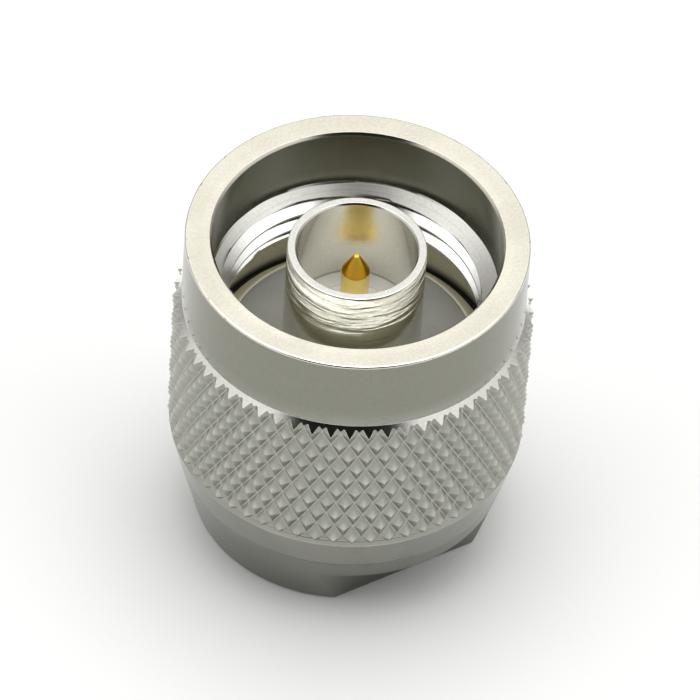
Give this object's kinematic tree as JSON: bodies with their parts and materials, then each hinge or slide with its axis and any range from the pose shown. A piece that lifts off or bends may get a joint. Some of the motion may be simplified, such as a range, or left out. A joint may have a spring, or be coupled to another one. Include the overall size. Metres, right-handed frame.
{
  "type": "n type terminator",
  "caption": "Short coaxial terminator plug with a knurled coupling nut turning on a turned body, a contact sleeve, a gold centre pin and a face gasket.",
  "frame": {"origin": "centre of the flat rear face, which the part stands on", "axes": "+Z along the connector's axis towards the mating end; the two spanner flats face +Y and -Y"},
  "size_m": [0.021, 0.021, 0.0215],
  "materials": {
    "nut_nickel": "satin nickel plate on brass",
    "body_nickel": "bright nickel plate on brass",
    "spring_bronze": "drawn spring bronze",
    "grey_rubber": "smooth silicone rubber",
    "white_insulator": "turned white insulator",
    "gold_plate": "gold plate on brass",
    "resistor_film": "film on a ceramic rod",
    "tinned_cap": "tinned steel"
  },
  "bodies": {
    "body": {"connector_body": "body_nickel", "retaining_ring": "spring_bronze", "face_gasket": "grey_rubber", "insulator": "white_insulator", "centre_pin": "gold_plate", "resistor_rod": "resistor_film", "resistor_front_cap": "tinned_cap", "resistor_rear_cap": "tinned_cap", "end_plug": "body_nickel"},
    "nut": {"coupling_nut": "nut_nickel"}
  },
  "joints": [
    {"name": "nut_spin", "type": "hinge", "parent": "body", "child": "nut", "pos_m": [0, 0, 0.009], "axis": [0, 0, 1], "continuous": true}
  ]
}
